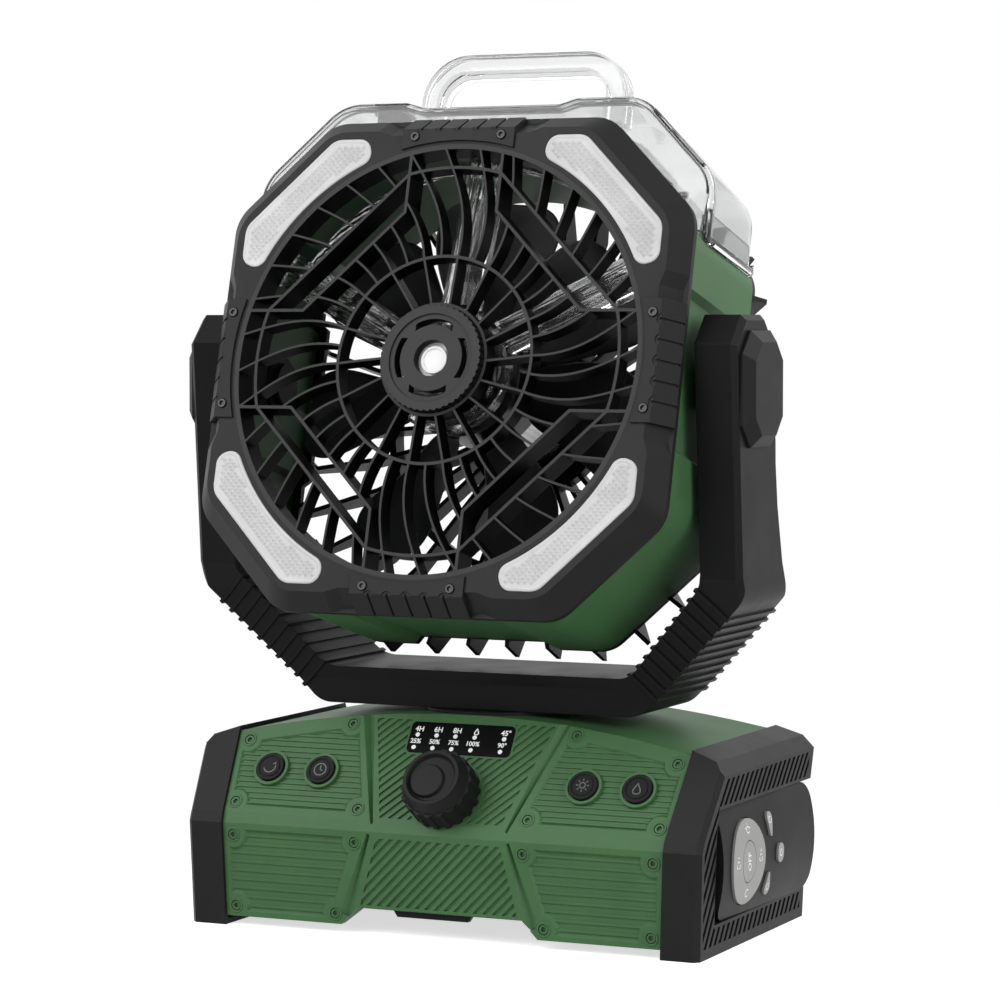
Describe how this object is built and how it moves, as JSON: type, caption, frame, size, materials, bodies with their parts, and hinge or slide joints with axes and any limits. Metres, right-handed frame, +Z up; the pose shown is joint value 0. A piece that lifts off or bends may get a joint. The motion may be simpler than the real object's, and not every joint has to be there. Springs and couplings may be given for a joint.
{
  "type": "portable camping fan",
  "caption": "Battery camping fan: tilting octagonal fan head with corner lamps and a clear water tank, held in a U-shaped swivel yoke on a control base with a stowed remote.",
  "frame": {"origin": "on the surface the base stands on, on the swivel axis, at the face of the centre foot pad", "axes": "+X is the viewer's right when facing the fan, the fan blows towards -Y, +Z is up"},
  "size_m": [0.25, 0.1505, 0.3569],
  "materials": {
    "green_plastic": "satin moulded",
    "green_screws": "satin",
    "black_plastic": "fine moulded grain",
    "dark_plastic": "satin moulded",
    "gloss_black": "smooth",
    "rubber": "matt",
    "white_plastic": "satin",
    "grey_keys": "satin",
    "clear_plastic": "clear polished",
    "smoked_plastic": "satin",
    "frosted_lens": "prismatic and frosted",
    "circuit_board": "solder mask",
    "lamp_board": "white solder mask",
    "cell_sleeve": "shrink sleeve",
    "bright_metal": "drawn",
    "dark_screws": "blackened"
  },
  "bodies": {
    "base": {"base_housing": "green_plastic", "bottom_plate": "black_plastic", "rubber_feet": "rubber", "end_cap_right": "black_plastic", "end_cap_left": "black_plastic", "panel_screws": "green_screws", "indicator_panel": "gloss_black", "control_board": "circuit_board", "button_switches": "dark_plastic", "potentiometer": "dark_plastic", "battery_cells": "cell_sleeve", "battery_holder": "dark_plastic", "charge_socket": "bright_metal", "swivel_motor": "bright_metal", "swivel_bearing": "white_plastic", "swivel_collar": "dark_plastic"},
    "knob": {"speed_knob": "dark_plastic", "knob_shaft": "bright_metal"},
    "button_swing": {"button_swing": "rubber"},
    "button_timer": {"button_timer": "rubber"},
    "button_light": {"button_light": "rubber"},
    "button_mist": {"button_mist": "rubber"},
    "remote": {"remote_upper_case": "black_plastic", "remote_lower_case": "black_plastic", "remote_board": "circuit_board", "remote_cell": "bright_metal"},
    "ring_key": {"remote_ring_key": "grey_keys"},
    "off_key": {"remote_off_key": "grey_keys"},
    "key_1": {"remote_key_1": "grey_keys"},
    "key_2": {"remote_key_2": "grey_keys"},
    "key_3": {"remote_key_3": "grey_keys"},
    "pinion": {"drive_pinion": "white_plastic"},
    "yoke": {"yoke_frame": "black_plastic", "pivot_pins": "bright_metal", "pivot_cover_right": "dark_plastic", "pivot_cover_left": "dark_plastic", "swivel_gear": "white_plastic", "swivel_spindle": "bright_metal", "spindle_nut": "bright_metal"},
    "head": {"bezel": "black_plastic", "lamp_lenses": "frosted_lens", "lamp_boards": "lamp_board", "edge_clips": "dark_plastic", "clip_screws": "dark_screws", "front_grille": "black_plastic", "grille_hub": "dark_plastic", "mist_nozzle": "white_plastic", "mist_manifold": "clear_plastic", "head_shell": "green_plastic", "pivot_hubs": "dark_plastic", "rear_grille": "black_plastic", "fan_motor": "bright_metal"},
    "rotor": {"fan_rotor": "smoked_plastic", "rotor_shaft": "bright_metal"},
    "tank": {"water_tank": "clear_plastic", "tank_valve": "dark_plastic", "carry_handle": "clear_plastic"},
    "filler_cap": {"filler_cap": "rubber"}
  },
  "joints": [
    {"name": "knob_turn", "type": "hinge", "parent": "base", "child": "knob", "pos_m": [0, -0.04984, 0.057], "axis": [0, -0.8383, 0.5452], "range_deg": [-270, 0]},
    {"name": "swing_press", "type": "slide", "parent": "base", "child": "button_swing", "axis": [0, 0.8383, -0.5452], "range_m": [0, 0.0008], "stiffness_N_per_m": 1500},
    {"name": "timer_press", "type": "slide", "parent": "base", "child": "button_timer", "axis": [0, 0.8383, -0.5452], "range_m": [0, 0.0008], "stiffness_N_per_m": 1500},
    {"name": "light_press", "type": "slide", "parent": "base", "child": "button_light", "axis": [0, 0.8383, -0.5452], "range_m": [0, 0.0008], "stiffness_N_per_m": 1500},
    {"name": "mist_press", "type": "slide", "parent": "base", "child": "button_mist", "axis": [0, 0.8383, -0.5452], "range_m": [0, 0.0008], "stiffness_N_per_m": 1500},
    {"name": "remote_pull", "type": "slide", "parent": "base", "child": "remote", "axis": [0.9996, -0.0288, 0], "range_m": [0, 0.04]},
    {"name": "ring_press", "type": "slide", "parent": "remote", "child": "ring_key", "axis": [-0.9996, 0.0288, 0], "range_m": [0, 0.0004], "stiffness_N_per_m": 1500},
    {"name": "off_press", "type": "slide", "parent": "remote", "child": "off_key", "axis": [-0.9996, 0.0288, 0], "range_m": [0, 0.0004], "stiffness_N_per_m": 1500},
    {"name": "key_1_press", "type": "slide", "parent": "remote", "child": "key_1", "axis": [-0.9996, 0.0288, 0], "range_m": [0, 0.0004], "stiffness_N_per_m": 1500},
    {"name": "key_2_press", "type": "slide", "parent": "remote", "child": "key_2", "axis": [-0.9996, 0.0288, 0], "range_m": [0, 0.0004], "stiffness_N_per_m": 1500},
    {"name": "key_3_press", "type": "slide", "parent": "remote", "child": "key_3", "axis": [-0.9996, 0.0288, 0], "range_m": [0, 0.0004], "stiffness_N_per_m": 1500},
    {"name": "swivel", "type": "hinge", "parent": "base", "child": "yoke", "pos_m": [0, 0, 0.08], "axis": [0, 0, 1], "range_deg": [-45, 45]},
    {"name": "pinion_spin", "type": "hinge", "parent": "base", "child": "pinion", "pos_m": [0, 0.03, 0.068], "axis": [0, 0, 1], "range_deg": [-180, 180]},
    {"name": "head_tilt", "type": "hinge", "parent": "yoke", "child": "head", "pos_m": [0, -0.0194, 0.2195], "axis": [1, 0, 0], "range_deg": [-75, 75]},
    {"name": "fan_spin", "type": "hinge", "parent": "head", "child": "rotor", "pos_m": [0, -0.0194, 0.2195], "axis": [0, 0.9656, -0.26], "continuous": true},
    {"name": "tank_lift", "type": "slide", "parent": "head", "child": "tank", "axis": [0, 0.26, 0.9656], "range_m": [0, 0.07]},
    {"name": "cap_pull", "type": "slide", "parent": "tank", "child": "filler_cap", "axis": [0, 0.26, 0.9656], "range_m": [0, 0.025]}
  ],
  "couplings": [
    {"joint": "pinion_spin", "follows": "swivel", "ratio": -4}
  ]
}
